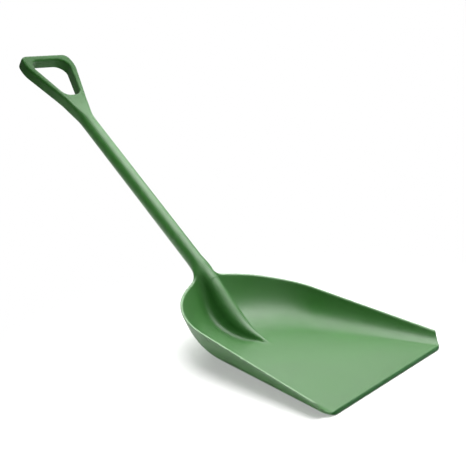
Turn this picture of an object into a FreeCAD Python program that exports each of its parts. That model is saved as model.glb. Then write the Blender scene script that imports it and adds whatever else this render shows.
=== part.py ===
import FreeCAD, Part
import math
import os
import Sketcher
from FreeCAD import Placement, Rotation, Vector

# Snow shovel: a deep moulded scoop, a hollow round shaft and a D-shaped grip.
# Frame: +Z up, the flat underside of the scoop lies on Z = 0, X = 0 is the
# plane of symmetry, the shaft rises towards +Y.  The origin is on the
# underside, 150 mm behind the middle of the front edge.
#
# The blade is modelled with Y = 0 at the front edge.  Shaft and grip are
# modelled upright, with the shaft line on Z, and then tilted into place.
# A station is a distance along the shaft line.

# ---------------------------------------------------------------- dimensions

SIZES = [
    # scoop, measured from the front edge
    ("front_edge_y", -150.0),      # where the front edge lies in the part's frame
    ("floor_half_width", 167.0),   # flat floor, half width at the front edge
    ("floor_arc_radius", 108.0),   # round back end of the flat floor
    ("floor_arc_centre", 214.0),
    ("rim_half_width", 198.5),     # rim line carried on to the front edge
    ("rim_arc_radius", 170.0),     # round back of the rim
    ("rim_arc_centre", 270.0),
    ("rim_front_height", 22.0),    # rim plane over the front edge
    ("rim_slope", 0.181),          # rise of the rim plane per mm towards the back
    ("floor_thickness", 6.6),
    ("wall", 4.6),
    ("cove_line", 0.383),          # straight share of the wall's cove
    ("cove_power", 4.4),           # how late the cove turns upright
    ("mean_steepness", 0.87),      # height of a wall over its width in plan
    ("front_run_out", 14.0),       # blank in front of the front edge, trimmed off
    ("level_b", 0.30),             # stations of the cove, as shares of its width
    ("level_c", 0.55),
    ("level_d", 0.75),
    ("level_e", 0.90),
    ("level_f", 1.00),
    ("level_over", 1.12),          # carries the hollow out past the rim
    ("front_edge_half", 172.0),    # straight part of the front edge
    ("corner_half", 196.5),        # front end of the rim
    ("corner_back", 24.0),
    ("trim_margin", 60.0),         # trimming outline beyond the corners and front edge
    ("cut_through", 200.0),        # length of a cut that passes right through
    ("lip_bevel_rise", 2.4),       # bevel along the top of the front lip
    ("lip_bevel_run", 6.0),
    ("bevel_margin", 3.0),         # bevel cutter beyond the lip, above and in front
    # shaft line
    ("pitch", 41.34),              # degrees, shaft over the flat underside
    ("axis_y", 438.9),             # station 0, over the back rim
    ("axis_z", 121.5),
    ("tube_radius", 16.9),
    ("bore_radius", 12.2),
    ("spigot_radius", 12.1),
    ("spigot_length", 60.0),
    ("neck_low", -25.0),           # stations along the shaft line
    ("seam_low", 95.0),
    ("seam_high", 418.0),
    ("grip_top", 667.5),
    # grip
    ("grip_depth", 28.4),
    ("grip_lean", 4.26),           # the grip's middle plane in front of the shaft line
    ("grip_round", 8.5),
    ("hole_round", 4.5),
    ("hole_low", 531.5),
    ("hole_high", 650.6),
    ("hole_low_half", 20.8),
    ("hole_high_half", 57.4),
    ("hole_low_radius", 19.5),
    ("hole_high_radius", 24.0),
    ("shoulder_station", 630.0),   # widest point of the grip
    ("shoulder_half", 69.0),
    ("shoulder_radius", 70.0),
    ("top_half", 64.5),
    ("top_radius", 18.0),
    ("waist_station", 507.0),
    ("waist_half", 26.0),
    ("waist_radius", 120.0),
    ("foot_station", 462.0),
    ("foot_half", 12.0),
    ("foot_radius", 4.0),
]

# Upright arches of the nose: distance from the front edge, foot height,
# crest height, half width of the foot, radius of the crown.
NOSE_COLUMNS = ("y", "foot", "crest", "half", "crown")
NOSE = [
    ("tip", 277.0, 1.5, 8.0, 6.0, 3.0),
    ("low", 300.0, 1.5, 19.2, 12.5, 7.8),
    ("mid", 330.0, 3.5, 36.4, 19.5, 15.2),
    ("rise", 360.0, 12.0, 63.4, 23.0, 20.2),
    ("high", 386.0, 27.0, 91.5, 23.5, 18.8),
    ("top", 412.0, 50.0, 119.7, 24.0, 16.9),
    ("back", 432.0, 84.0, 137.9, 26.0, 16.9),
]

# Circles of the collar: station, radius, height of the circle's top over the
# shaft line, measured square to it.
COLLAR_COLUMNS = ("station", "radius", "top")
COLLAR = [
    (0, -30.0, 10.0, 0.0),
    (1, -13.0, 20.5, 11.0),
    (2, 3.0, 20.0, 11.0),
    (3, 20.0, 17.6, 11.5),
    (4, 38.0, 13.5, 11.5),
]

# Sections of the grip's neck above the seam: station, half width, half depth,
# share of the grip's lean.
GRIP_NECK_COLUMNS = ("station", "wide", "deep", "lean")
GRIP_NECK = [
    ("round", 440.0, 16.9, 16.9, 0.0),
    ("swell", 470.0, 18.6, 16.0, 0.13),
    ("flare", 492.0, 22.4, 14.6, 0.45),
    ("web", 512.0, 25.6, 12.8, 0.77),
]


def table_cells(prefix, columns, rows):
    """One (alias, value) cell for each number of a table."""
    return [
        ("%s_%s_%s" % (prefix, row[0], column), value)
        for row in rows
        for column, value in zip(columns, row[1:])
    ]


doc = FreeCAD.newDocument("snow_shovel")
sheet = doc.addObject("Spreadsheet::Sheet", "Dims")
cells = (
    SIZES
    + table_cells("nose", NOSE_COLUMNS, NOSE)
    + table_cells("collar", COLLAR_COLUMNS, COLLAR)
    + table_cells("neck", GRIP_NECK_COLUMNS, GRIP_NECK)
)
for row_number, (alias, value) in enumerate(cells, start=1):
    sheet.set("A%d" % row_number, alias.replace("_", " "))
    sheet.set("B%d" % row_number, repr(value))
    sheet.setAlias("B%d" % row_number, alias)
doc.recompute()


def num(alias):
    return float(sheet.get(alias))


# ---------------------------------------------------------------- helpers
# A name ending in _expr holds the sheet expression of the value beside it.


def new_body(name):
    body = doc.addObject("PartDesign::Body", name)
    body.Label = name
    return body


def new_sketch(body, name, role, offset=Placement(), **base_expr):
    """Sketch on an origin plane; y and z expressions drive its offset."""
    sketch = body.newObject("Sketcher::SketchObject", name)
    plane = [f for f in body.Origin.OriginFeatures if f.Role == role][0]
    sketch.AttachmentSupport = (plane, [""])
    sketch.MapMode = "FlatFace"
    sketch.AttachmentOffset = offset
    for axis, expression in base_expr.items():
        sketch.setExpression("AttachmentOffset.Base.%s" % axis, expression)
    return sketch


def feature(body, kind, name, **properties):
    """PartDesign feature; a property given as text is bound as an expression."""
    doc.recompute()
    item = body.newObject("PartDesign::" + kind, name)
    for key, setting in properties.items():
        if isinstance(setting, str):
            item.setExpression(key, setting)
        else:
            setattr(item, key, setting)
    doc.recompute()
    return item


def loft(body, kind, name, sketches):
    return feature(body, kind, name, Profile=sketches[0], Sections=sketches[1:])


def constrain(sketch, *args):
    return sketch.addConstraint(Sketcher.Constraint(*args))


def bind(sketch, kind, expression, *args):
    """Add a dimension with its present value and tie it to the sheet."""
    index = constrain(sketch, kind, *args)
    sketch.setExpression("Constraints[%d]" % index, expression)


def polygon(sketch, points, construction=False):
    """Closed outline; edge i of an empty sketch runs from point i to the next."""
    count = len(points)
    for i in range(count):
        edge = Part.LineSegment(Vector(*points[i]), Vector(*points[(i + 1) % count]))
        sketch.addGeometry(edge, construction)
    for i in range(count):
        constrain(sketch, "Coincident", i, 2, (i + 1) % count, 1)


def tangent_angle(across, rise, radius):
    """Where the right-hand tangent from a point meets a circle.

    The point is given from the circle's centre.
    """
    reach = math.hypot(across, rise)
    return math.atan2(rise, across) + math.acos(radius / reach)


def arch(sketch, half, foot, centre, radius):
    """Straight foot line, two sides and a round end tangent to them.

    Each size is a pair: value, expression.
    """
    angle = tangent_angle(half[0], foot[0] - centre[0], radius[0])
    side_x = radius[0] * math.cos(angle)
    side_y = centre[0] + radius[0] * math.sin(angle)
    foot_left, foot_right = Vector(-half[0], foot[0], 0), Vector(half[0], foot[0], 0)
    circle = Part.Circle(Vector(0, centre[0], 0), Vector(0, 0, 1), radius[0])
    sketch.addGeometry(Part.LineSegment(foot_left, foot_right), False)
    sketch.addGeometry(Part.LineSegment(foot_right, Vector(side_x, side_y, 0)), False)
    sketch.addGeometry(Part.ArcOfCircle(circle, angle, math.pi - angle), False)
    sketch.addGeometry(Part.LineSegment(Vector(-side_x, side_y, 0), foot_left), False)
    constrain(sketch, "Coincident", 0, 2, 1, 1)
    constrain(sketch, "Coincident", 3, 2, 0, 1)
    constrain(sketch, "Tangent", 1, 2, 2, 1)
    constrain(sketch, "Tangent", 2, 2, 3, 1)
    constrain(sketch, "Symmetric", 0, 1, 0, 2, -2)
    constrain(sketch, "PointOnObject", 2, 3, -2)
    bind(sketch, "Radius", radius[1], 2, radius[0])
    bind(sketch, "DistanceY", centre[1], -1, 1, 2, 3, centre[0])
    bind(sketch, "DistanceY", foot[1], -1, 1, 0, 1, foot[0])
    bind(sketch, "DistanceX", "2 * %s" % half[1], 0, 1, 0, 2, 2 * half[0])


def add_circles(sketch, radii):
    for i, radius in enumerate(radii):
        sketch.addGeometry(Part.Circle(Vector(0, 0, 0), Vector(0, 0, 1), num(radius)), False)
        constrain(sketch, "Coincident", i, 3, -1, 1)
        bind(sketch, "Radius", "Dims.%s" % radius, i, num(radius))


def station_circles(body, name, radii, station):
    """Circles at a station of a body modelled upright."""
    offset = Placement(Vector(0, 0, num(station)), Rotation())
    sketch = new_sketch(body, name, "XY_Plane", offset, z="Dims.%s" % station)
    add_circles(sketch, radii)
    return sketch


# Directions of the shaft line and of its upper side, in the blade's frame.
pitch = math.radians(num("pitch"))
along = Vector(0, math.cos(pitch), math.sin(pitch))
upper = Vector(0, -along.z, along.y)
tilt = Rotation(Vector(1, 0, 0), -(90.0 - num("pitch")))


def place_on_axis(body):
    """Tilt an upright body on to the shaft line."""
    base = Vector(0, num("axis_y") + num("front_edge_y"), num("axis_z"))
    body.Placement = Placement(base, tilt)
    body.setExpression("Placement.Base.y", "Dims.axis_y + Dims.front_edge_y")
    body.setExpression("Placement.Base.z", "Dims.axis_z")


# ---------------------------------------------------------------- scoop

# The inclined section planes all turn about one line ahead of the front edge,
# where the rim plane meets the underside.
PIVOT_EXPR = "(0 - Dims.rim_front_height / Dims.rim_slope)"
pivot = -num("rim_front_height") / num("rim_slope")

LEVELS = [None, "level_b", "level_c", "level_d", "level_e", "level_f"]


def floor_to_rim(size, share, share_expr):
    """A size of the outline at a share of the way from floor to rim."""
    floor, rim = "floor_" + size, "rim_" + size
    value = num(floor) + (num(rim) - num(floor)) * share
    return value, "(Dims.%s + (Dims.%s - Dims.%s) * %s)" % (floor, rim, floor, share_expr)


def scoop_level(body, name, alias, inner):
    """One U-shaped outline of the scoop; alias None is the flat floor."""
    share = num(alias) if alias else 0.0
    share_expr = "Dims.%s" % alias if alias else "0"

    # height share and steepness of the cove, and the slopes they give
    line, power = num("cove_line"), num("cove_power")
    rise = line * share + (1 - line) * share ** power
    rise_expr = (
        "(Dims.cove_line * %s + (1 - Dims.cove_line) * %s ^ Dims.cove_power)"
        % (share_expr, share_expr)
    )
    steepness = line + (1 - line) * power * share ** (power - 1)
    turn = math.atan(num("rim_slope") * rise)
    turn_expr = "atan(Dims.rim_slope * %s)" % rise_expr
    lean = math.atan(num("mean_steepness") * steepness)
    lean_expr = (
        "atan(Dims.mean_steepness * (Dims.cove_line + (1 - Dims.cove_line)"
        " * Dims.cove_power * %s ^ (Dims.cove_power - 1)))" % share_expr
    )

    # the inside is the outside moved in and up by the wall
    if not inner:
        inset, inset_expr = 0.0, "0"
        lift, lift_expr = 0.0, "0"
    elif not alias:
        inset, inset_expr = num("wall") * math.tan(lean / 2), "Dims.wall * tan(%s / 2)" % lean_expr
        lift, lift_expr = num("floor_thickness"), "Dims.floor_thickness"
    else:
        inset, inset_expr = num("wall") * math.sin(lean), "Dims.wall * sin(%s)" % lean_expr
        lift, lift_expr = num("wall") * math.cos(lean), "Dims.wall * cos(%s)" % lean_expr

    half, half_expr = floor_to_rim("half_width", share, share_expr)
    radius, radius_expr = floor_to_rim("arc_radius", share, share_expr)
    centre, centre_expr = floor_to_rim("arc_centre", share, share_expr)
    edge_half = half - inset
    radius -= inset
    radius_expr = "(%s - %s)" % (radius_expr, inset_expr)

    # distances within the sloping plane, from the pivot line; the inside
    # runs out twice as far in front as the outside
    overrun = 2.0 if inner else 1.0
    cos_turn, cos_expr = math.cos(turn), "cos(%s)" % turn_expr
    centre_y = (centre + radius - pivot) / cos_turn - radius
    edge_y = (0.0 - pivot) / cos_turn
    front_y = (-overrun * num("front_run_out") - pivot) / cos_turn

    # carry the side line from the front edge out to the blank's front
    angle = tangent_angle(edge_half, edge_y - centre_y, radius)
    side_x = radius * math.cos(angle)
    side_y = centre_y + radius * math.sin(angle)
    splay = (edge_half - side_x) / (side_y - edge_y)
    front_half = edge_half + splay * (edge_y - front_y)

    slope = Rotation(Vector(1, 0, 0), max(math.degrees(turn), 1e-6))
    offset = Placement(Vector(0, pivot, lift), slope)
    sketch = new_sketch(body, name, "XY_Plane", offset, y=PIVOT_EXPR, z=lift_expr)
    if alias:
        sketch.setExpression("AttachmentOffset.Rotation.Angle", turn_expr)
    arch(
        sketch,
        half=(front_half, "(%s - %s) * %.9f" % (half_expr, inset_expr, front_half / edge_half)),
        foot=(front_y, "(0 - %g * Dims.front_run_out - %s) / %s" % (overrun, PIVOT_EXPR, cos_expr)),
        centre=(centre_y, "(%s + %s - %s) / %s - %s"
                % (centre_expr, radius_expr, PIVOT_EXPR, cos_expr, radius_expr)),
        radius=(radius, radius_expr),
    )
    return sketch


def add_scoop(body):
    outer = [scoop_level(body, "outer_%d" % i, a, False) for i, a in enumerate(LEVELS)]
    loft(body, "AdditiveLoft", "scoop_outside", outer)
    inner_levels = LEVELS + ["level_over"]
    inner = [scoop_level(body, "inner_%d" % i, a, True) for i, a in enumerate(inner_levels)]
    loft(body, "SubtractiveLoft", "scoop_inside", inner)


def cut_front_corners(body):
    """Square off the front edge and rake the front ends of the side walls."""
    edge, corner, back = num("front_edge_half"), num("corner_half"), num("corner_back")
    margin = num("trim_margin")
    far = corner + margin
    sketch = new_sketch(body, "front_outline", "XY_Plane")
    polygon(sketch, [
        (-corner, back), (-edge, 0), (edge, 0), (corner, back),
        (far, back), (far, -margin), (-far, -margin), (-far, back),
    ])
    constrain(sketch, "PointOnObject", 1, 1, -1)
    constrain(sketch, "Symmetric", 1, 1, 1, 2, -2)
    constrain(sketch, "Symmetric", 0, 1, 2, 2, -2)
    constrain(sketch, "Symmetric", 5, 1, 5, 2, -2)
    for side in (3, 7):
        constrain(sketch, "Horizontal", side)
    for side in (4, 6):
        constrain(sketch, "Vertical", side)
    bind(sketch, "DistanceX", "2 * Dims.front_edge_half", 1, 1, 1, 2, 2 * edge)
    bind(sketch, "DistanceX", "2 * Dims.corner_half", 0, 1, 2, 2, 2 * corner)
    bind(sketch, "DistanceY", "Dims.corner_back", -1, 1, 2, 2, back)
    bind(sketch, "DistanceX", "Dims.trim_margin", 3, 1, 3, 2, margin)
    bind(sketch, "DistanceY", "Dims.trim_margin", 5, 1, -1, 1, margin)
    feature(body, "Pocket", "front_corners",
            Profile=sketch, Type=0, Length="Dims.cut_through", Midplane=True)


def cut_lip_bevel(body):
    """Bevel along the top of the front lip."""
    top, run, margin = num("floor_thickness"), num("lip_bevel_run"), num("bevel_margin")
    low = top - num("lip_bevel_rise")
    sketch = new_sketch(body, "lip_profile", "YZ_Plane")
    polygon(sketch, [
        (0.0, low), (run, top), (run, top + margin), (-margin, top + margin), (-margin, low),
    ])
    constrain(sketch, "PointOnObject", 0, 1, -2)
    for side in (1, 3):
        constrain(sketch, "Vertical", side)
    for side in (2, 4):
        constrain(sketch, "Horizontal", side)
    low_expr = "Dims.floor_thickness - Dims.lip_bevel_rise"
    bind(sketch, "DistanceY", low_expr, -1, 1, 0, 1, low)
    bind(sketch, "DistanceX", "Dims.lip_bevel_run", -1, 1, 0, 2, run)
    bind(sketch, "DistanceY", "Dims.floor_thickness", -1, 1, 0, 2, top)
    bind(sketch, "DistanceY", "Dims.bevel_margin", 1, 1, 1, 2, margin)
    bind(sketch, "DistanceX", "Dims.bevel_margin", 3, 2, -1, 1, margin)
    feature(body, "Pocket", "lip_bevel",
            Profile=sketch, Type=0, Midplane=True, Length="2 * Dims.floor_half_width")


def add_nose(body):
    """Ridge that carries the shaft line down into the floor."""
    sketches = []
    for name, y, foot, crest, half, crown in NOSE:
        key = "Dims.nose_%s_" % name
        # the normal of the XZ plane points to -Y
        offset = Placement(Vector(0, 0, -y), Rotation())
        sketch = new_sketch(body, "nose_%s" % name, "XZ_Plane", offset, z="0 - %sy" % key)
        arch(
            sketch,
            half=(half, key + "half"),
            foot=(foot, key + "foot"),
            centre=(crest - crown, "%screst - %scrown" % (key, key)),
            radius=(crown, key + "crown"),
        )
        sketches.append(sketch)
    loft(body, "AdditiveLoft", "nose", sketches)


def axis_circle(body, name, radius, station, shift=0.0, shift_expr="0"):
    """Circle square to the shaft line in the blade, shifted to its upper side."""
    base = Vector(0, num("axis_y"), num("axis_z")) + along * num(station) + upper * shift
    sketch = new_sketch(
        body, name, "XY_Plane", Placement(base, tilt),
        y="Dims.axis_y + cos(Dims.pitch * 1 deg) * Dims.%s - sin(Dims.pitch * 1 deg) * %s"
        % (station, shift_expr),
        z="Dims.axis_z + sin(Dims.pitch * 1 deg) * Dims.%s + cos(Dims.pitch * 1 deg) * %s"
        % (station, shift_expr),
    )
    add_circles(sketch, [radius])
    return sketch


def add_collar(body):
    """Swelling around the neck where the back wall meets it."""
    sketches = []
    for i, station, radius, top in COLLAR:
        key = "collar_%d" % i
        shift_expr = "(Dims.%s_top - Dims.%s_radius)" % (key, key)
        sketches.append(axis_circle(
            body, key, key + "_radius", key + "_station", top - radius, shift_expr))
    loft(body, "AdditiveLoft", "neck_collar", sketches)


def build_blade():
    body = new_body("blade")
    add_scoop(body)
    cut_front_corners(body)
    cut_lip_bevel(body)
    add_nose(body)
    neck = axis_circle(body, "neck_section", "tube_radius", "neck_low")
    feature(body, "Pad", "neck", Profile=neck, Length="Dims.seam_low - Dims.neck_low")
    add_collar(body)
    spigot = axis_circle(body, "spigot_section", "spigot_radius", "seam_low")
    feature(body, "Pad", "spigot", Profile=spigot, Length="Dims.spigot_length")
    body.Placement = Placement(Vector(0, num("front_edge_y"), 0), Rotation())
    body.setExpression("Placement.Base.y", "Dims.front_edge_y")
    return body


# ---------------------------------------------------------------- shaft


def build_shaft():
    body = new_body("shaft")
    section = station_circles(body, "tube_section", ["tube_radius", "bore_radius"], "seam_low")
    feature(body, "Pad", "tube", Profile=section, Length="Dims.seam_high - Dims.seam_low")
    place_on_axis(body)
    return body


# ---------------------------------------------------------------- grip

# Right-hand corners from the bottom up, as aliases: half width, station, radius.
GRIP_CORNERS = [
    ("foot_half", "foot_station", "foot_radius"),
    ("waist_half", "waist_station", "waist_radius"),
    ("shoulder_half", "shoulder_station", "shoulder_radius"),
    ("top_half", "grip_top", "top_radius"),
]
HOLE_CORNERS = [
    ("hole_low_half", "hole_low", "hole_low_radius"),
    ("hole_high_half", "hole_high", "hole_high_radius"),
]

DIAGONAL = 0.70710678  # cosine of 45 degrees


def rounded_outline(body, name, right_corners):
    """Symmetric outline: a construction polygon with rounded real edges along it."""
    offset = Placement(Vector(0, 0, num("grip_lean")), Rotation())
    sketch = new_sketch(body, name, "XZ_Plane", offset, z="Dims.grip_lean")
    corners = [(1, "") + c for c in right_corners]
    corners += [(-1, "0 - ") + c for c in reversed(right_corners)]
    count = len(corners)
    points = [Vector(sign * num(half), num(z), 0) for sign, _, half, z, _ in corners]
    polygon(sketch, points, construction=True)
    for i, (_, minus, half, station, _) in enumerate(corners):
        bind(sketch, "DistanceX", "%sDims.%s" % (minus, half), -1, 1, i, 1, points[i].x)
        bind(sketch, "DistanceY", "Dims.%s" % station, -1, 1, i, 1, points[i].y)

    starts, ends, arcs = [], [], []
    for i, corner in enumerate(corners):
        point, radius = points[i], num(corner[4])
        backward = (points[i - 1] - point).normalize()
        forward = (points[(i + 1) % count] - point).normalize()
        half_angle = backward.getAngle(forward) / 2
        setback = radius / math.tan(half_angle)
        bisector = (backward + forward).normalize()
        centre = point + bisector * (radius / math.sin(half_angle))
        start, end = point + backward * setback, point + forward * setback
        middle = centre + (point - centre).normalize() * radius
        # a clockwise arc has its end points numbered the other way round
        counterclockwise = (start - centre).cross(middle - centre).z > 0
        index = sketch.addGeometry(Part.Arc(start, middle, end), False)
        arcs.append((index, (1, 2) if counterclockwise else (2, 1)))
        starts.append(start)
        ends.append(end)

    for i in range(count):
        following = (i + 1) % count
        arc, (_, arc_end) = arcs[i]
        next_arc, (next_start, _) = arcs[following]
        edge = sketch.addGeometry(Part.LineSegment(ends[i], starts[following]), False)
        constrain(sketch, "Tangent", arc, arc_end, edge, 1)
        constrain(sketch, "Tangent", edge, 2, next_arc, next_start)
        constrain(sketch, "PointOnObject", edge, 1, i)
        constrain(sketch, "PointOnObject", edge, 2, i)
    for (arc, _), corner in zip(arcs, corners):
        bind(sketch, "Radius", "Dims.%s" % corner[4], arc, num(corner[4]))
    return sketch


def face_edges(shape, outside):
    """Edges around the grip's two flat faces: the outer wires or the hole's."""
    names = []
    for face in shape.Faces:
        flat = abs(abs(face.normalAt(0, 0).y) - 1) < 1e-6
        from_middle = abs(face.CenterOfMass.y + num("grip_lean"))
        if flat and abs(from_middle - num("grip_depth") / 2) < 1e-6:
            wires = sorted(face.Wires, key=lambda wire: -wire.BoundBox.DiagonalLength)
            for edge in wires[0 if outside else 1].Edges:
                for i, candidate in enumerate(shape.Edges, start=1):
                    if candidate.isSame(edge):
                        names.append("Edge%d" % i)
    return names


def side_arc_radius(reach, cross, reach_expr, cross_expr):
    """Radius of a side that bulges out to reach, between diagonal points."""
    flat = 1 - DIAGONAL
    value = ((reach * flat) ** 2 + (cross * DIAGONAL) ** 2) / (2 * reach * flat)
    expression = "((%s * %.8f) ^ 2 + (%s * %.8f) ^ 2) / (2 * %s * %.8f)" % (
        reach_expr, flat, cross_expr, DIAGONAL, reach_expr, flat)
    return value, expression


def neck_section(body, name, station, wide_alias, deep_alias, lean=None):
    """Round outline of four arcs, bulging to the half width and half depth."""
    shift = -num(lean) * num("grip_lean") if lean else 0.0
    offset = Placement(Vector(0, shift, num(station)), Rotation())
    sketch = new_sketch(body, name, "XY_Plane", offset, z="Dims.%s" % station)
    if lean:
        sketch.setExpression("AttachmentOffset.Base.y", "0 - Dims.%s * Dims.grip_lean" % lean)
    wide, wide_expr = num(wide_alias), "Dims.%s" % wide_alias
    deep, deep_expr = num(deep_alias), "Dims.%s" % deep_alias
    x, y = wide * DIAGONAL, deep * DIAGONAL
    corners = [Vector(x, -y, 0), Vector(x, y, 0), Vector(-x, y, 0), Vector(-x, -y, 0)]
    middles = [Vector(wide, 0, 0), Vector(0, deep, 0), Vector(-wide, 0, 0), Vector(0, -deep, 0)]
    for i in range(4):
        sketch.addGeometry(Part.Arc(corners[i], middles[i], corners[(i + 1) % 4]), False)
    for i in range(4):
        constrain(sketch, "Coincident", i, 2, (i + 1) % 4, 1)
    for i in range(4):
        constrain(sketch, "PointOnObject", i, 3, -1 if i % 2 == 0 else -2)
    x_expr = "%s * %.8f" % (wide_expr, DIAGONAL)
    bind(sketch, "DistanceX", x_expr, -1, 1, 0, 1, x)
    bind(sketch, "DistanceX", x_expr, -1, 1, 0, 2, x)
    bind(sketch, "DistanceY", "%s * %.8f" % (deep_expr, DIAGONAL), -1, 1, 0, 2, y)
    bind(sketch, "DistanceX", "0 - " + x_expr, -1, 1, 2, 1, -x)
    radii = [
        side_arc_radius(wide, deep, wide_expr, deep_expr),
        side_arc_radius(deep, wide, deep_expr, wide_expr),
    ]
    for i in range(4):
        radius, radius_expr = radii[i % 2]
        bind(sketch, "Radius", radius_expr, i, radius)
    return sketch


def add_ring(body):
    """The D-shaped ring, its hand hole and its rounded edges."""
    outline = rounded_outline(body, "grip_outline", GRIP_CORNERS)
    feature(body, "Pad", "grip_block", Profile=outline, Length="Dims.grip_depth", Midplane=True)
    hole = rounded_outline(body, "hole_outline", HOLE_CORNERS)
    opening = feature(body, "Pocket", "hand_hole",
                      Profile=hole, Type=0, Length="Dims.cut_through", Midplane=True)
    edges = face_edges(opening.Shape, outside=True)
    rounds = feature(body, "Fillet", "outside_rounds",
                     Base=(opening, edges), Radius="Dims.grip_round")
    edges = face_edges(rounds.Shape, outside=False)
    feature(body, "Fillet", "hole_rounds", Base=(rounds, edges), Radius="Dims.hole_round")


def build_grip():
    body = new_body("d_grip")
    add_ring(body)
    # neck: round at the seam, flattening into the web
    sections = [neck_section(body, "neck_seam", "seam_high", "tube_radius", "tube_radius")]
    for row in GRIP_NECK:
        key = "neck_" + row[0]
        aliases = ["%s_%s" % (key, column) for column in GRIP_NECK_COLUMNS]
        sections.append(neck_section(body, key, *aliases))
    loft(body, "AdditiveLoft", "grip_neck", sections)
    spigot = station_circles(body, "grip_spigot_section", ["spigot_radius"], "seam_high")
    feature(body, "Pad", "grip_spigot",
            Profile=spigot, Reversed=True, Length="Dims.spigot_length")
    place_on_axis(body)
    return body


# ---------------------------------------------------------------- build and write

parts = [build_blade(), build_shaft(), build_grip()]
doc.recompute()

bad = [(o.Name, o.State) for o in doc.Objects if "Invalid" in o.State or "Error" in o.State]
if bad:
    raise RuntimeError("failed objects: %r" % bad)
for part in parts:
    shape = part.Shape
    if shape.isNull() or not shape.isValid() or len(shape.Solids) != 1:
        raise RuntimeError("%s is not one valid solid" % part.Label)
os.makedirs("parts", exist_ok=True)
for part in parts:
    part.Shape.exportStep("parts/%s.step" % part.Label)
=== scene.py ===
# A moulded plastic scoop shovel in three pieces: an open U-shaped pan with a neck, a straight
# hollow shaft and a D-shaped grip.  +Z is up and the floor is z = 0.  The shovel is symmetric
# about x = 0, the pan opens towards -Y and the shaft climbs towards +Y.
import math
import bpy
import bmesh
import numpy as np
from mathutils import Matrix, Vector


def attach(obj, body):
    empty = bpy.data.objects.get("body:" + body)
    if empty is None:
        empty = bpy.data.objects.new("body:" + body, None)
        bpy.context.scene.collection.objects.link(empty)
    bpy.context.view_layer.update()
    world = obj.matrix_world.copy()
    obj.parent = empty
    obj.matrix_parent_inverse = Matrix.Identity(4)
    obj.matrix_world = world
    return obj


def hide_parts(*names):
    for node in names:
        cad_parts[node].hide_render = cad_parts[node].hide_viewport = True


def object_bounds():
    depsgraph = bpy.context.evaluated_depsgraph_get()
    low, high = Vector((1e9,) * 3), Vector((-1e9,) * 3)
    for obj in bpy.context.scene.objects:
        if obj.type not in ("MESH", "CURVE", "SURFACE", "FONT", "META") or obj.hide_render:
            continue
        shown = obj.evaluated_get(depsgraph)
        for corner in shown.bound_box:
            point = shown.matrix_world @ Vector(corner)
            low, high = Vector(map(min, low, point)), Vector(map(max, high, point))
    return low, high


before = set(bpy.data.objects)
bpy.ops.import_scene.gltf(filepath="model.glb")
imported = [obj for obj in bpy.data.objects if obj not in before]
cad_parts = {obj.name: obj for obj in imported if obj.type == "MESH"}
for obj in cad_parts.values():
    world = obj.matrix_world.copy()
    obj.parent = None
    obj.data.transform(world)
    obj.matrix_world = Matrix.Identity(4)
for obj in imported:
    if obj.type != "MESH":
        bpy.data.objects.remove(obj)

cad_lo, cad_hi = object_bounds()
scene = bpy.context.scene

# ---------------------------------------------------------------- shared sizes
# Millimetres, with y measured backwards from the pan's front edge.
FRONT_Y = -150.0                        # the front edge in the frame
RIM_SLOPE, RIM_FRONT_Z = 0.181, 22.0    # the rim's plane
HINGE_Y = -RIM_FRONT_Z / RIM_SLOPE      # where the rim's plane meets z = 0

TUBE_RADIUS, BORE_RADIUS, SPIGOT_RADIUS = 16.9, 12.2, 12.1
SPIGOT_LENGTH = 60.0
END_CHAMFER = 0.35
SHAFT_ANGLE = math.radians(41.34)
# The shaft's line: station 0, the direction of rising stations, and the normal above it.
SHAFT_FOOT = np.array([0.0, 438.9, 121.5])
SHAFT_ALONG = np.array([0.0, math.cos(SHAFT_ANGLE), math.sin(SHAFT_ANGLE)])
SHAFT_NORMAL = np.array([0.0, -math.sin(SHAFT_ANGLE), math.cos(SHAFT_ANGLE)])
ACROSS = np.array([1.0, 0, 0])
SEAM_LOW, SEAM_HIGH = 95.0, 418.0       # stations of the shaft's two ends


# ---------------------------------------------------------------- field helpers

def lerp(a, b, t):
    return a + (b - a) * t


def smoothstep(x, start, end):
    t = np.clip((x - start) / (end - start), 0.0, 1.0)
    return t * t * (3 - 2 * t)


def soft_min(a, b, blend):
    blend = np.maximum(blend, 1e-3)
    overlap = np.maximum(blend - np.abs(a - b), 0.0)
    return np.minimum(a, b) - overlap * overlap / (4 * blend)


def soft_max(a, b, blend):
    return -soft_min(-a, -b, blend)


def rounded_max(a, b, radius):
    """Intersection of two solids with its edge rounded."""
    corner = np.hypot(np.maximum(a + radius, 0.0), np.maximum(b + radius, 0.0))
    return np.minimum(np.maximum(a, b), -radius) + corner


def shaft_station(y, z):
    return (y - SHAFT_FOOT[1]) * SHAFT_ALONG[1] + (z - SHAFT_FOOT[2]) * SHAFT_ALONG[2]


def shaft_offset(y, z):
    return (y - SHAFT_FOOT[1]) * SHAFT_NORMAL[1] + (z - SHAFT_FOOT[2]) * SHAFT_NORMAL[2]


def nearest_segment(points, start, end, chunk=20000):
    """For each 2D point: distance to the nearest segment, its index, and the place along it."""
    step = end - start
    length2 = (step ** 2).sum(-1)
    distance = np.empty(len(points))
    index = np.empty(len(points), np.int64)
    along = np.empty(len(points))
    for first in range(0, len(points), chunk):
        part = points[first:first + chunk, None]
        t = np.clip(((part - start) * step).sum(-1) / length2, 0, 1)
        square = ((part - (start + t[..., None] * step)) ** 2).sum(-1)
        best = square.argmin(1)
        rows = np.arange(len(best))
        distance[first:first + chunk] = np.sqrt(square[rows, best])
        index[first:first + chunk] = best
        along[first:first + chunk] = t[rows, best]
    return distance, index, along


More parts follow.
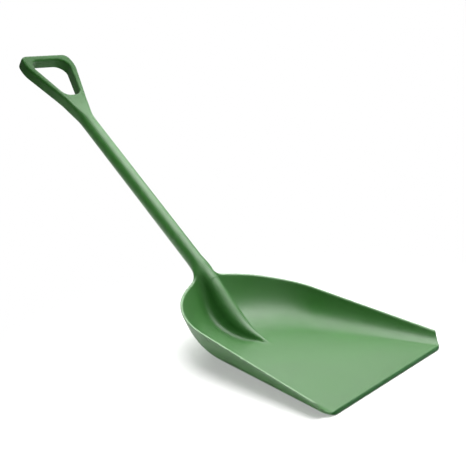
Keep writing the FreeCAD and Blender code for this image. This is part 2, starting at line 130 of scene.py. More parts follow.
class Table:
    """Values of a two-argument function on a fine grid, read back between the points."""

    def __init__(self, func, a_start, a_end, b_start, b_end, step):
        self.a_start, self.b_start, self.step = a_start, b_start, step
        a = np.arange(a_start, a_end + step, step)
        b = np.arange(b_start, b_end + step, step)
        grid_a, grid_b = np.meshgrid(a, b, indexing="ij")
        self.values = [np.ascontiguousarray(v, dtype=np.float64) for v in func(grid_a, grid_b)]

    def __call__(self, a, b):
        rows, columns = self.values[0].shape
        i = np.clip((a - self.a_start) / self.step, 0, rows - 1.001)
        j = np.clip((b - self.b_start) / self.step, 0, columns - 1.001)
        i0, j0 = i.astype(np.int32), j.astype(np.int32)
        fi, fj = i - i0, j - j0
        k = i0 * columns + j0
        weights = ((0, (1 - fi) * (1 - fj)), (1, (1 - fi) * fj),
                   (columns, fi * (1 - fj)), (columns + 1, fi * fj))
        return [sum(w * v.ravel()[k + skip] for skip, w in weights) for v in self.values]


# ---------------------------------------------------------------- the pan's skins
# The pan is a stack of U-shaped outlines.  The outline of a level lies in a plane that hinges
# about the line y = HINGE_Y, z = 0.  Level 0 is the floor's edge, level 1 the rim.

WALL, FLOOR_THICKNESS = 4.6, 6.6
COVE_LINEAR, COVE_POWER = 0.383, 4.4    # straight and curved shares of the wall's rise
COVE_EASE = 0.09                        # half width in level of the bend at level 0
WALL_LEAN = 0.87                        # wall gradient per unit of cove slope
# Value at level 0 and growth per level.
HALF_WIDTH, HALF_WIDTH_GAIN = 167.0, 31.5
BACK_RADIUS, BACK_RADIUS_GAIN = 108.0, 62.0
BACK_CENTRE_Y, BACK_CENTRE_GAIN = 214.0, 56.0


def cove(level):
    bend = (level + COVE_EASE) ** 2 / (4 * COVE_EASE)
    linear = np.where(level > COVE_EASE, level, np.where(level < -COVE_EASE, 0.0, bend))
    return COVE_LINEAR * linear + (1 - COVE_LINEAR) * np.maximum(level, 0.0) ** COVE_POWER


def cove_slope(level):
    curved = (1 - COVE_LINEAR) * COVE_POWER * np.maximum(level, 0.0) ** (COVE_POWER - 1)
    return COVE_LINEAR + curved


def skin_offsets(level, inner):
    """Sideways inset and upward lift of a skin from the outer one."""
    if not inner:
        return np.zeros_like(level), np.zeros_like(level)
    lean = np.arctan(WALL_LEAN * cove_slope(level))
    on_wall = smoothstep(level, -0.05, 0.25)
    floor_inset = WALL * math.tan(math.atan(WALL_LEAN * COVE_LINEAR) / 2)
    inset = lerp(floor_inset, WALL * np.sin(lean), on_wall)
    lift = lerp(FLOOR_THICKNESS, WALL * np.cos(lean), on_wall)
    return inset, lift


def outline_distance(level, x, y, inner):
    """In the sloping plane of a level: distance outside its U, an arc with tangent sides."""
    inset = skin_offsets(level, inner)[0]
    tilt = RIM_SLOPE * cove(level)
    cosine = 1.0 / np.sqrt(1 + tilt * tilt)
    half_width = HALF_WIDTH + HALF_WIDTH_GAIN * level - inset
    radius = BACK_RADIUS + BACK_RADIUS_GAIN * level - inset
    flat_centre = BACK_CENTRE_Y + BACK_CENTRE_GAIN * level
    centre = (flat_centre + radius - HINGE_Y) / cosine - radius
    front = (0.0 - HINGE_Y) / cosine - centre
    tangent = (np.arccos(np.clip(radius / np.hypot(half_width, front), -1, 1))
               - np.arctan2(-front, half_width))
    back = (y - HINGE_Y) / cosine - centre
    side = x * np.cos(tangent) + back * np.sin(tangent) - radius
    arc = np.hypot(x, back) - radius
    return np.where(np.arctan2(back, x) > tangent, arc, side)


def skin_height(x, y, inner):
    """Height of the outer or inner skin, by bisecting for the level that passes (x, y)."""
    x = np.abs(x)
    low = np.full(x.shape, -0.45)
    high = np.full(x.shape, 1.38)
    for _ in range(26):
        middle = (low + high) / 2
        outside = outline_distance(middle, x, y, inner) > 0
        low = np.where(outside, middle, low)
        high = np.where(outside, high, middle)
    level = (low + high) / 2
    return RIM_SLOPE * cove(level) * (y - HINGE_Y) + skin_offsets(level, inner)[1]


def skin_height_cosine(x, y, inner):
    """Height of a skin and the cosine of its steepness there."""
    e = 0.25
    z = skin_height(x, y, inner)
    slope_x = (skin_height(x + e, y, inner) - skin_height(x - e, y, inner)) / (2 * e)
    slope_y = (skin_height(x, y + e, inner) - skin_height(x, y - e, inner)) / (2 * e)
    return z, 1.0 / np.sqrt(1 + slope_x * slope_x + slope_y * slope_y)


def both_skins(x, y):
    return *skin_height_cosine(x, y, False), *skin_height_cosine(x, y, True)


# ---------------------------------------------------------------- the ridge

# The ridge by which the shaft runs out into the floor: y, crest height, crown radius.
CREST = np.array([
    [268.0, 3.0, 2.2], [276.0, 7.6, 3.2], [290.0, 14.6, 5.4], [306.0, 21.8, 9.0],
    [324.0, 32.0, 14.0], [342.0, 46.0, 18.6], [360.0, 63.4, 20.4], [378.0, 82.4, 19.6],
    [396.0, 103.0, 17.9], [414.0, 121.6, 16.9], [430.0, 136.2, 16.9],
    [445.0, 149.4, 16.9], [470.0, 171.4, 16.9], [500.0, 197.8, 16.9], [560.0, 250.6, 16.9],
])
CREST_START, CREST_END = CREST[0, 0], CREST[-1, 0]
# y, spread of the ridge's sides per unit of depth
FLARE = np.array([[268.0, 0.7], [290.0, 0.35], [320.0, 0.16], [350.0, 0.10], [440.0, 0.10]])
# y, width of the blend between ridge and pan
BLEND = np.array([[268.0, 5.0], [290.0, 8.0], [330.0, 12.0], [380.0, 15.0], [440.0, 22.0]])
RIDGE_END = 438.0
NECK_BLEND = 22.0
NECK_START = -24.0                      # station at which the tube begins


def natural_spline(xs, ys, x):
    """Natural cubic through the points, evaluated at x."""
    n = len(xs)
    h = np.diff(xs)
    matrix = np.zeros((n, n))
    right = np.zeros(n)
    matrix[0, 0] = matrix[-1, -1] = 1
    for i in range(1, n - 1):
        matrix[i, i - 1:i + 2] = h[i - 1], 2 * (h[i - 1] + h[i]), h[i]
        right[i] = 6 * ((ys[i + 1] - ys[i]) / h[i] - (ys[i] - ys[i - 1]) / h[i - 1])
    bend = np.linalg.solve(matrix, right)
    k = np.clip(np.searchsorted(xs, x) - 1, 0, n - 2)
    t0, t1 = x - xs[k], xs[k + 1] - x
    return ((bend[k] * t1 ** 3 + bend[k + 1] * t0 ** 3) / (6 * h[k])
            + (ys[k] / h[k] - bend[k] * h[k] / 6) * t1
            + (ys[k + 1] / h[k] - bend[k + 1] * h[k] / 6) * t0)


def ridge_line():
    """Rows of y, z and radius along the centre of the ridge's crown."""
    y = np.linspace(CREST_START, CREST_END, 586)
    z = natural_spline(CREST[:, 0], CREST[:, 1], y)
    reach = 25
    window = 2 * reach + 1
    radius = np.pad(np.interp(y, CREST[:, 0], CREST[:, 2]), reach, mode="edge")
    radius = np.convolve(radius, np.ones(window) / window, mode="valid")
    # towards the back the crest becomes the top of the shaft
    shaft_top = (SHAFT_FOOT[2] + (y - SHAFT_FOOT[1]) * math.tan(SHAFT_ANGLE)
                 + TUBE_RADIUS / math.cos(SHAFT_ANGLE))
    z = lerp(z, shaft_top, smoothstep(y, 408.0, 436.0))
    dy, dz = np.gradient(y), np.gradient(z)
    length = np.hypot(dy, dz)
    return np.stack([y + dz / length * radius, z - dy / length * radius, radius], -1)


RIDGE = ridge_line()
RIDGE_BY_Y = RIDGE[np.argsort(RIDGE[:, 0])]


def ridge_values(y, z):
    """Distance in the middle plane to the ridge's centre line, and the radius there."""
    line = RIDGE[::4]
    points = np.stack([y.ravel(), z.ravel()], -1)
    distance, k, t = nearest_segment(points, line[:-1, :2], line[1:, :2])
    radius = line[k, 2] + t * (line[k + 1, 2] - line[k, 2])
    return distance.reshape(y.shape), radius.reshape(y.shape)


SKIN_TABLE = Table(both_skins, 0.0, 212.0, -12.0, 548.0, step=1.0)
RIDGE_TABLE = Table(ridge_values, 250.0, 556.0, -12.0, 226.0, step=0.75)

# ---------------------------------------------------------------- the blade's field

CORNER_X, CORNER_BLEND = 172.0, 7.0     # where the front edge turns back, and how softly
CORNER_NORMAL = np.array([24.0, -24.5])
CORNER_NORMAL /= np.linalg.norm(CORNER_NORMAL)
LIP_DROP, LIP_LENGTH = 0.7, 2.4         # thinning of the floor at the front edge
EDGE_ROUND, FRONT_ROUND = 1.1, 0.8
RIM_COSINE = 0.975


def front_outline(x, y):
    """Distance in plan outside the front edge, whose outer corners run back."""
    slanted = (np.abs(x) - CORNER_X) * CORNER_NORMAL[0] + y * CORNER_NORMAL[1]
    return soft_max(-y, slanted, CORNER_BLEND)


def rim_height(x, y):
    """Top of the rim: a plane, with a wide rise at the back and a narrow one at the neck."""
    wide = 13.0 * np.maximum(0.0, 1 - np.abs(x) / 158.0) ** 1.15 * smoothstep(y, 330.0, 400.0)
    narrow = 24.0 * np.exp(-(x / 24.0) ** 2) * smoothstep(y, 404.0, 434.0)
    return RIM_FRONT_Z + RIM_SLOPE * y + (wide + narrow)


def scoop_field(x, y, z, skins, ridge_at):
    """Signed distance of the pan with its ridge and neck."""
    outer_z, outer_cosine, inner_z, inner_cosine = skins
    ridge_distance, ridge_radius = ridge_at
    front = front_outline(x, y)
    lip = LIP_DROP * (1 - smoothstep(-front, -1.5, LIP_LENGTH))
    above_outer = (z - outer_z) * outer_cosine
    above_inner = (z - inner_z + lip) * inner_cosine
    above_rim = (z - rim_height(x, y)) * RIM_COSINE
    body = rounded_max(above_inner, above_rim, EDGE_ROUND)

    # crown of the ridge, and the flared skirt below it
    crown = np.hypot(x, ridge_distance) - ridge_radius
    crown_z = np.interp(y, RIDGE_BY_Y[:, 0], RIDGE_BY_Y[:, 1])
    crown_radius = np.interp(y, RIDGE_BY_Y[:, 0], RIDGE_BY_Y[:, 2])
    flare = np.interp(y, FLARE[:, 0], FLARE[:, 1])
    half_width = crown_radius * 0.97 + flare * (crown_z - z)
    skirt = (np.abs(x) - half_width) / np.sqrt(1 + flare * flare)
    skirt = np.maximum(skirt, (z - crown_z) * 0.75)
    skirt = np.maximum(skirt, np.maximum(y - RIDGE_END, CREST_START - y))
    ridge = np.minimum(crown, skirt)
    blend = np.interp(y, BLEND[:, 0], BLEND[:, 1])
    inside = rounded_max(soft_min(body, ridge, blend), -above_outer,
                         0.05 + EDGE_ROUND * smoothstep(crown, 2.0, 14.0))

    # the neck's tube, blended into the outside of the back wall
    wall = rounded_max(body, -above_outer, EDGE_ROUND)
    station, offset = shaft_station(y, z), shaft_offset(y, z)
    tube = np.maximum(np.hypot(x, offset) - TUBE_RADIUS, NECK_START - station)
    fade = np.maximum(smoothstep(station, -26.0, -2.0), smoothstep(-offset, -2.0, 12.0))
    outside = soft_min(wall, tube, NECK_BLEND * fade)
    return rounded_max(np.minimum(inside, outside), front, FRONT_ROUND)


def scoop_points(points):
    x, y, z = points.T
    return scoop_field(x, y, z, SKIN_TABLE(np.abs(x), y), RIDGE_TABLE(y, z))


def scoop_grid(xs, ys, zs):
    skins = SKIN_TABLE(*np.meshgrid(np.abs(xs), ys, indexing="ij"))
    grid_y, grid_z = np.meshgrid(ys, zs, indexing="ij")
    ridge_at = RIDGE_TABLE(grid_y, grid_z)
    out = np.empty((len(xs), len(ys), len(zs)), np.float32)
    for i, x in enumerate(xs):
        row = [values[i][:, None] for values in skins]
        out[i] = scoop_field(np.full_like(grid_y, x), grid_y, grid_z, row, ridge_at)
    return out


# ---------------------------------------------------------------- meshing a field

def graded(marks, coarseness):
    """Points from the first mark to the last.  A mark is a place and the spacing there."""
    places, spacing = np.array(marks, float).T
    spacing = spacing * coarseness
    out = [places[0]]
    while out[-1] < places[-1]:
        out.append(out[-1] + np.interp(out[-1], places, spacing))
    return np.array(out)


def surface_net(field, *axes):
    """Quads over the zero level of a field sampled on a graded grid."""
    nx, ny, nz = field.shape
    inside = field < 0
    corners = [(i, j, k) for k in (0, 1) for j in (0, 1) for i in (0, 1)]
    count = np.zeros((nx - 1, ny - 1, nz - 1), np.int8)
    for i, j, k in corners:
        count += inside[i:nx - 1 + i, j:ny - 1 + j, k:nz - 1 + k]
    cells = (count > 0) & (count < 8)
    index = np.full(cells.shape, -1, np.int64)
    ci, cj, ck = np.nonzero(cells)
    index[ci, cj, ck] = np.arange(len(ci))

    # one vertex per cell, at the mean of the crossings on the cell's edges
    position = np.zeros((len(ci), 3))
    hits = np.zeros(len(ci))
    for first, a in enumerate(corners):
        for b in corners[first + 1:]:
            if sum(abs(a[i] - b[i]) for i in range(3)) != 1:
                continue
            fa = field[ci + a[0], cj + a[1], ck + a[2]]
            fb = field[ci + b[0], cj + b[1], ck + b[2]]
            cross = (fa < 0) != (fb < 0)
            t = np.where(cross, fa / np.where(cross, fa - fb, 1), 0)
            for d in range(3):
                position[:, d] += np.where(cross, a[d] + t * (b[d] - a[d]), 0)
            hits += cross
    position /= hits[:, None]
    position += np.stack([ci, cj, ck], -1)
    verts = np.stack([np.interp(position[:, d], np.arange(len(axes[d])), axes[d])
                      for d in range(3)], -1)

    # one quad around each grid edge that crosses the surface
    quads = []
    for axis in range(3):
        lower, upper, inner = [slice(None)] * 3, [slice(None)] * 3, [slice(None)] * 3
        lower[axis], upper[axis] = slice(0, -1), slice(1, None)
        low_inside, high_inside = inside[tuple(lower)], inside[tuple(upper)]
        others = [a for a in range(3) if a != axis]
        for a in others:
            inner[a] = slice(1, -1)
        edges = np.argwhere((low_inside != high_inside)[tuple(inner)])
        edges[:, others] += 1
        leaving = low_inside[tuple(edges.T)]
        around = []
        for back in ((0, 0), (1, 0), (1, 1), (0, 1)):
            cell = edges.copy()
            cell[:, others] -= back
            around.append(index[tuple(cell.T)])
        ring = np.stack(around, -1)
        flip = leaving if axis == 1 else ~leaving
        ring[flip] = ring[flip][:, ::-1]
        quads.append(ring)
    return verts, np.concatenate(quads)


def relax(verts, quads, func, step):
    """Slide the net's points into an even spacing and back onto the surface."""
    edges = np.concatenate([quads[:, [i, (i + 1) % 4]] for i in range(4)])
    edges = np.unique(np.sort(edges, axis=1), axis=0)
    start, end = edges.T
    n = len(verts)
    degree = np.bincount(edges.ravel(), minlength=n).astype(float)
    h = 0.12
    for turn in range(4):
        if turn:
            total = np.stack([np.bincount(start, verts[end, d], n)
                              + np.bincount(end, verts[start, d], n) for d in range(3)], -1)
            verts = lerp(verts, total / degree[:, None], 0.5)
        value = func(verts)
        gradient = np.stack([func(verts + nudge) - func(verts - nudge)
                             for nudge in np.eye(3) * h], -1) / (2 * h)
        square = np.maximum((gradient * gradient).sum(-1), 0.25)
        move = -(value / square)[:, None] * gradient
        length = np.linalg.norm(move, axis=1)
        move *= np.minimum(1.0, 0.6 * step / np.maximum(length, 1e-9))[:, None]
        verts = verts + move
    return verts


def to_frame(verts):
    """Millimetres from the front edge to the frame's metres."""
    verts = np.array(verts, float)
    verts[:, 1] += FRONT_Y
    return verts / 1000.0


def mesh_object(name, verts, faces):
    mesh = bpy.data.meshes.new(name)
    mesh.vertices.add(len(verts))
    mesh.vertices.foreach_set("co", np.asarray(verts, np.float32).ravel())
    corners = faces.shape[1]
    mesh.loops.add(faces.size)
    mesh.loops.foreach_set("vertex_index", faces.ravel().astype(np.int32))
    mesh.polygons.add(len(faces))
    mesh.polygons.foreach_set("loop_start", np.arange(0, faces.size, corners, dtype=np.int32))
    mesh.polygons.foreach_set("loop_total", np.full(len(faces), corners, np.int32))
    mesh.update(calc_edges=True)
    mesh.validate()
    ob = bpy.data.objects.new(name, mesh)
    scene.collection.objects.link(ob)
    return ob


# Closed end of a moulded tube: radius, distance past the cut.
PLUG_PROFILE = [
    (TUBE_RADIUS - END_CHAMFER, 0.0), ((TUBE_RADIUS + SPIGOT_RADIUS) / 2, 0.0),
    (SPIGOT_RADIUS, 0.0), (SPIGOT_RADIUS, SPIGOT_LENGTH - 2.0),
    (SPIGOT_RADIUS - 1.2, SPIGOT_LENGTH), (SPIGOT_RADIUS * 0.5, SPIGOT_LENGTH),
    (0.0, SPIGOT_LENGTH),
]


def cut_and_fit_end(ob, station, sign):
    """Cut the tube square at a station, true its end to a circle, chamfer it and grow the
    spigot.  sign is +1 when the spigot points up the shaft's line."""
    bm = bmesh.new()
    bm.from_mesh(ob.data)
    axis = Vector(SHAFT_ALONG)
    centre = Vector((SHAFT_FOOT + SHAFT_ALONG * station + np.array([0, FRONT_Y, 0])) / 1000.0)

    def ahead_of(vert):
        return (vert.co - centre).dot(axis) * sign

    def set_on_circle(vert, radius, ahead):
        d = vert.co - centre
        d -= axis * d.dot(axis)
        vert.co = centre + d.normalized() * radius / 1000.0 + axis * sign * ahead / 1000.0

    faces = [f for f in bm.faces if ahead_of(f.verts[0]) > -0.008]
    geom = faces + list({e for f in faces for e in f.edges})
    geom += list({v for f in faces for v in f.verts})
    bmesh.ops.bisect_plane(bm, geom=geom, dist=1e-7, plane_co=centre, plane_no=axis * sign,
                           clear_outer=True)
    close = [e for e in bm.edges if all(abs(ahead_of(v)) < 0.003 for v in e.verts)]
    bmesh.ops.dissolve_degenerate(bm, dist=4e-5, edges=close)
    edges = [e for e in bm.edges
             if e.is_boundary and all(abs(ahead_of(v)) < 0.0005 for v in e.verts)]
    for v in {v for e in edges for v in e.verts}:
        set_on_circle(v, TUBE_RADIUS, -END_CHAMFER)
    for radius, ahead in PLUG_PROFILE:
        new = bmesh.ops.extrude_edge_only(bm, edges=edges)["geom"]
        verts = [g for g in new if isinstance(g, bmesh.types.BMVert)]
        edges = [g for g in new if isinstance(g, bmesh.types.BMEdge) and g.is_boundary]
        for v in verts:
            set_on_circle(v, radius, ahead)
    bmesh.ops.remove_doubles(bm, verts=verts, dist=1e-6)
    bmesh.ops.recalc_face_normals(bm, faces=bm.faces[:])
    bm.to_mesh(ob.data)
    bm.free()
    ob.data.update()


def shade_smooth(ob):
    for polygon in ob.data.polygons:
        polygon.use_smooth = True


# ---------------------------------------------------------------- the blade

BLADE_OVERRUN = 8.0                     # tube meshed past the seam, then cut off


def build_blade():
    # grid marks: place, spacing
    q = 1.0
    half = graded([(0.65 * q, 1.8), (36, 1.9), (60, 3.3), (120, 3.6), (148, 2.2), (160, 1.5),
                   (201, 1.5)], q)
    ys = graded([(-4.3, 1.2), (9, 1.2), (24, 3.4), (250, 3.8), (290, 2.3), (360, 1.8),
                 (470, 1.6), (540, 2.2)], q)
    zs = graded([(-2.83, 1.1), (9, 1.1), (16, 1.7), (130, 1.7), (214, 2.2)], q)
    xs = np.concatenate([-half[::-1], half])
    middle = len(half)

    # only two boxes can hold material: the pan, and the neck behind and above it
    field = np.full((len(xs), len(ys), len(zs)), 50.0, np.float32)
    pan_y, pan_z = np.searchsorted(ys, 462.0), np.searchsorted(zs, 128.0)
    field[middle:, :pan_y, :pan_z] = scoop_grid(half, ys[:pan_y], zs[:pan_z])
    neck_x = np.searchsorted(half, 52.0)
    neck_y, neck_z = np.searchsorted(ys, 380.0), np.searchsorted(zs, 60.0)
    field[middle:middle + neck_x, neck_y:, neck_z:] = scoop_grid(
        half[:neck_x], ys[neck_y:], zs[neck_z:])

    def past_end(y, z):
        return shaft_station(y, z) - (SEAM_LOW + BLADE_OVERRUN)

    past = past_end(*np.meshgrid(ys, zs, indexing="ij"))
    field[middle:] = np.maximum(field[middle:], past[None].astype(np.float32))
    field[:middle] = field[middle:][::-1]
    verts, quads = surface_net(field, xs, ys, zs)
    verts = relax(verts, quads,
                  lambda p: np.maximum(scoop_points(p), past_end(p[:, 1], p[:, 2])), 1.6)
    ob = mesh_object("blade_scoop", to_frame(verts), quads)
    cut_and_fit_end(ob, SEAM_LOW, +1)
    shade_smooth(ob)
    # marks the top of the rim for its painted highlight line
    mark_rim_highlight(ob.data)
    return ob


def mark_rim_highlight(mesh):
    """Vertex value that is 1 along the top of the rim, where a paler line is painted on as a
    highlight.
    """
    co = np.empty(len(mesh.vertices) * 3, np.float32)
    mesh.vertices.foreach_get("co", co)
    co = co.reshape(-1, 3).astype(float) * 1000.0
    x, y, z = co[:, 0], co[:, 1] - FRONT_Y, co[:, 2]
    up = z - rim_height(x, y)
    # painted highlight: the band along the rim top that gets the paler colour
    rim_highlight_weight = smoothstep(up, -3.4, -1.0) * (1 - smoothstep(up, 0.8, 2.5))
    rim_highlight_weight = rim_highlight_weight * smoothstep(np.abs(x), 24.0, 44.0)
    rim = mesh.attributes.new("rim", "FLOAT", "POINT")
    rim.data.foreach_set("value", rim_highlight_weight.astype(np.float32))


# ---------------------------------------------------------------- the shaft

SHAFT_SEGMENTS = 128
MOUTH_FLARE, MOUTH_DEPTH = 0.6, 0.8     # chamfer of the bore's mouths


def build_shaft():
    low, high, c = SEAM_LOW, SEAM_HIGH, END_CHAMFER
    outer_stations = [low + c, *np.linspace(low + 4, high - 4, 64), high - c]
    inner_stations = [high - MOUTH_DEPTH, *np.linspace(high - 4, low + 4, 40),
                      low + MOUTH_DEPTH]
    # closed section of the wall: radius, station
    profile = ([(TUBE_RADIUS - c, low)] + [(TUBE_RADIUS, s) for s in outer_stations]
               + [(TUBE_RADIUS - c, high), (BORE_RADIUS + MOUTH_FLARE, high)]
               + [(BORE_RADIUS, s) for s in inner_stations]
               + [(BORE_RADIUS + MOUTH_FLARE, low)])
    angles = np.arange(SHAFT_SEGMENTS) * 2 * math.pi / SHAFT_SEGMENTS
    verts = [SHAFT_FOOT + SHAFT_ALONG * s + ACROSS * r * math.cos(t)
             + SHAFT_NORMAL * r * math.sin(t) for r, s in profile for t in angles]
    faces = []
    for i in range(len(profile)):
        a, b = i * SHAFT_SEGMENTS, (i + 1) % len(profile) * SHAFT_SEGMENTS
        for k in range(SHAFT_SEGMENTS):
            m = (k + 1) % SHAFT_SEGMENTS
            faces.append((a + k, a + m, b + m, b + k))
    ob = mesh_object("shaft_tube", to_frame(verts), np.array(faces))
    bm = bmesh.new()
    bm.from_mesh(ob.data)
    bmesh.ops.recalc_face_normals(bm, faces=bm.faces[:])
    bm.to_mesh(ob.data)
    bm.free()
    shade_smooth(ob)
    ob.data.set_sharp_from_angle(angle=math.radians(30))
    return ob


# ---------------------------------------------------------------- the grip

# Corners of the right half: half width, station, corner radius.
GRIP_CORNERS = [(TUBE_RADIUS, 380.0, 4.0), (TUBE_RADIUS, 468.0, 60.0), (28.0, 516.0, 112.0),
                (69.0, 630.0, 70.0), (64.5, 667.5, 18.0)]
HOLE_CORNERS = [(20.8, 531.5, 19.5), (57.4, 650.6, 24.0)]
GRIP_HALF_DEPTH, GRIP_ROUND, HOLE_ROUND = 14.2, 7.0, 5.0
GRIP_TUBE_ROUND = 16.85                 # edge rounding where the grip is still a tube
GRIP_LEAN = 4.26                        # shift of the D along the shaft's normal
GRIP_OVERRUN = 10.0                     # tube meshed before the seam, then cut off
GRIP_START = SEAM_HIGH - GRIP_OVERRUN


def rounded_outline(corners, steps=24):
    """Closed polyline of a mirrored outline with rounded corners."""
    corners = corners + [(-half, station, r) for half, station, r in reversed(corners)]
    points = [np.array(c[:2], float) for c in corners]
    out = []
    for i, p in enumerate(points):
        before, after = points[i - 1], points[(i + 1) % len(points)]
        to_before = (before - p) / np.linalg.norm(before - p)
        to_after = (after - p) / np.linalg.norm(after - p)
        angle = math.acos(np.clip(to_before @ to_after, -1, 1))
        radius = corners[i][2]
        setback = radius / math.tan(angle / 2)
        bisector = (to_before + to_after) / np.linalg.norm(to_before + to_after)
        centre = p + bisector * radius / math.sin(angle / 2)
        start = math.atan2(*(p + to_before * setback - centre)[::-1])
        end = math.atan2(*(p + to_after * setback - centre)[::-1])
        turn = (end - start + math.pi) % (2 * math.pi) - math.pi
        for k in range(steps + 1):
            w = start + turn * k / steps
            out.append(centre + radius * np.array([math.cos(w), math.sin(w)]))
    return np.array(out)


def polygon_distance(polygon, x, station):
    """Signed distance to a closed polyline, negative inside."""
    points = np.stack([x.ravel(), station.ravel()], -1)
    start, end = polygon, np.roll(polygon, -1, axis=0)
    keep = np.linalg.norm(end - start, axis=1) > 1e-6
    start, end = start[keep], end[keep]
    distance = nearest_segment(points, start, end)[0]
    inside = np.zeros(len(points), bool)
    for a, b in zip(start, end):
        rows = np.nonzero((a[1] > points[:, 1]) != (b[1] > points[:, 1]))[0]
        crossing = a[0] + (points[rows, 1] - a[1]) * (b[0] - a[0]) / (b[1] - a[1]) \
            if len(rows) else points[rows, 0]
        inside[rows] ^= points[rows, 0] < crossing
    return np.where(inside, -distance, distance).reshape(x.shape)


GRIP_OUTLINES = [rounded_outline(GRIP_CORNERS), rounded_outline(HOLE_CORNERS)]
GRIP_TABLE = Table(lambda x, s: [polygon_distance(outline, x, s) for outline in GRIP_OUTLINES],
                   -84.0, 84.0, 396.0, 690.0, step=0.7)


def grip_field(x, offset, station, flat):
    """Signed distance of the grip; flat holds the distances to its outline and its hole."""
    outer, hole = flat
    offset = offset - GRIP_LEAN * smoothstep(station, 450.0, 540.0)
    half_depth = lerp(TUBE_RADIUS, GRIP_HALF_DEPTH, smoothstep(station, 452.0, 505.0))
    edge_round = lerp(GRIP_TUBE_ROUND, GRIP_ROUND, smoothstep(station, 448.0, 512.0))
    faces = np.abs(offset) - half_depth
    body = rounded_max(outer, faces, edge_round)
    around_hole = rounded_max(-hole, faces, HOLE_ROUND)
    return np.maximum(soft_max(body, around_hole, 1.5), GRIP_START - station)


def build_grip():
    step = 1.15
    xs = np.arange(-80.0 - step / 2, 80.0, step)
    offsets = np.arange(-19.7, 22.5, step)
    stations = np.arange(402.3, 682.0, step)
    grid_x, grid_station = np.meshgrid(xs, stations, indexing="ij")
    flat = GRIP_TABLE(grid_x, grid_station)
    field = np.empty((len(xs), len(offsets), len(stations)), np.float32)
    for i, offset in enumerate(offsets):
        field[:, i, :] = grip_field(grid_x, np.full_like(grid_x, offset), grid_station, flat)
    verts, quads = surface_net(field, xs, offsets, stations)
    verts = relax(verts, quads,
                  lambda p: grip_field(*p.T, GRIP_TABLE(p[:, 0], p[:, 2])), step)
    world = (SHAFT_FOOT + verts[:, 2:3] * SHAFT_ALONG + verts[:, 0:1] * ACROSS
             + verts[:, 1:2] * SHAFT_NORMAL)
    # x, offset and station form a left-handed set, so the quads are turned over
    ob = mesh_object("d_grip_handle", to_frame(world), quads[:, ::-1])
    cut_and_fit_end(ob, SEAM_HIGH, -1)
    shade_smooth(ob)
    return ob


blade = build_blade()
shaft = build_shaft()
grip = build_grip()

# ---------------------------------------------------------------- shader helpers

class Shader:
    """Adds nodes to a tree.  An input given a socket is linked, any other value is set."""

    def __init__(self, tree):
        self.tree = tree

    def fill(self, node, inputs):
        for key, value in inputs.items():
            if isinstance(value, bpy.types.NodeSocket):
                self.tree.links.new(value, node.inputs[key])
            else:
                node.inputs[key].default_value = value

    def node(self, kind, inputs=None, **settings):
        """Make a node and return its outputs."""
        node = self.tree.nodes.new("ShaderNode" + kind)
        for key, value in settings.items():
            setattr(node, key, value)
        self.fill(node, inputs or {})
        return node.outputs

    def math(self, operation, *values):
        return self.node("Math", dict(enumerate(values)), operation=operation)[0]

    def mix(self, blend, factor, first, second):
        return self.node("MixRGB", {0: factor, 1: first, 2: second}, blend_type=blend)[0]

    def mix_shaders(self, factor, first, second):
        return self.node("MixShader", {0: factor, 1: first, 2: second})[0]

    def noise(self, place, scale, detail=3.0, roughness=0.55, distortion=0.0):
        return self.node("TexNoise", {"Scale": scale, "Detail": detail, "Vector": place,
                                      "Roughness": roughness, "Distortion": distortion})["Fac"]

    def cells(self, place, scale):
        return self.node("TexVoronoi", {"Scale": scale, "Vector": place})["Distance"]

    def ramp(self, source, *stops):
        """Two stops, each a position and a colour or grey value."""
        node = self.tree.nodes.new("ShaderNodeValToRGB")
        for element, (position, colour) in zip(node.color_ramp.elements, stops):
            element.position = position
            element.color = colour if isinstance(colour, tuple) else (colour,) * 3 + (1,)
        self.fill(node, {0: source})
        return node.outputs[0]

    def smooth_range(self, value, start, end, low, high):
        return self.node("MapRange", {"Value": value, "From Min": start, "From Max": end,
                                      "To Min": low, "To Max": high},
                         interpolation_type="SMOOTHSTEP")[0]

    def bump(self, height, strength, distance, **normal):
        return self.node("Bump", {"Strength": strength, "Distance": distance,
                                  "Height": height, **normal})[0]


def new_material(name):
    material = bpy.data.materials.new(name)
    material.use_nodes = True
    material.node_tree.nodes.clear()
    return material, Shader(material.node_tree)


# ---------------------------------------------------------------- the plastic

DARK_GREEN, LIGHT_GREEN = (0.025, 0.160, 0.014, 1), (0.029, 0.184, 0.017, 1)
# pale greens: worn edges with a painted highlight, and the painted highlight line on the rim
WORN_EDGE_HIGHLIGHT_GREEN, RIM_HIGHLIGHT_GREEN = (0.22, 0.40, 0.21, 1), (0.24, 0.42, 0.22, 1)
# tint for the painted shade on the front face
FRONT_FACE_SHADE_TINT = (0.45, 0.62, 0.80, 1)


def pigment(shader, place):
    """Green with slow flow marks, fine mottling and sparse dark specks."""
    flow = shader.noise(place, scale=9.0, detail=4.0, roughness=0.6, distortion=0.6)
    colour = shader.ramp(flow, (0.30, DARK_GREEN), (0.72, LIGHT_GREEN))
    mottle = shader.noise(place, scale=330.0, detail=4.0, roughness=0.65)
    mottle = shader.ramp(mottle, (0.30, 0.66), (0.70, 1.16))
    colour = shader.mix("MULTIPLY", 0.60, colour, mottle)
    speck = shader.ramp(shader.cells(place, scale=75.0), (0.06, 0.30), (0.13, 1.0))
    # only some of the specks show
    gate = shader.noise(place, scale=60.0, detail=1.0)
    gate = shader.ramp(gate, (0.53, 0.0), (0.60, 1.0))
    return shader.mix("MULTIPLY", gate, colour, speck)


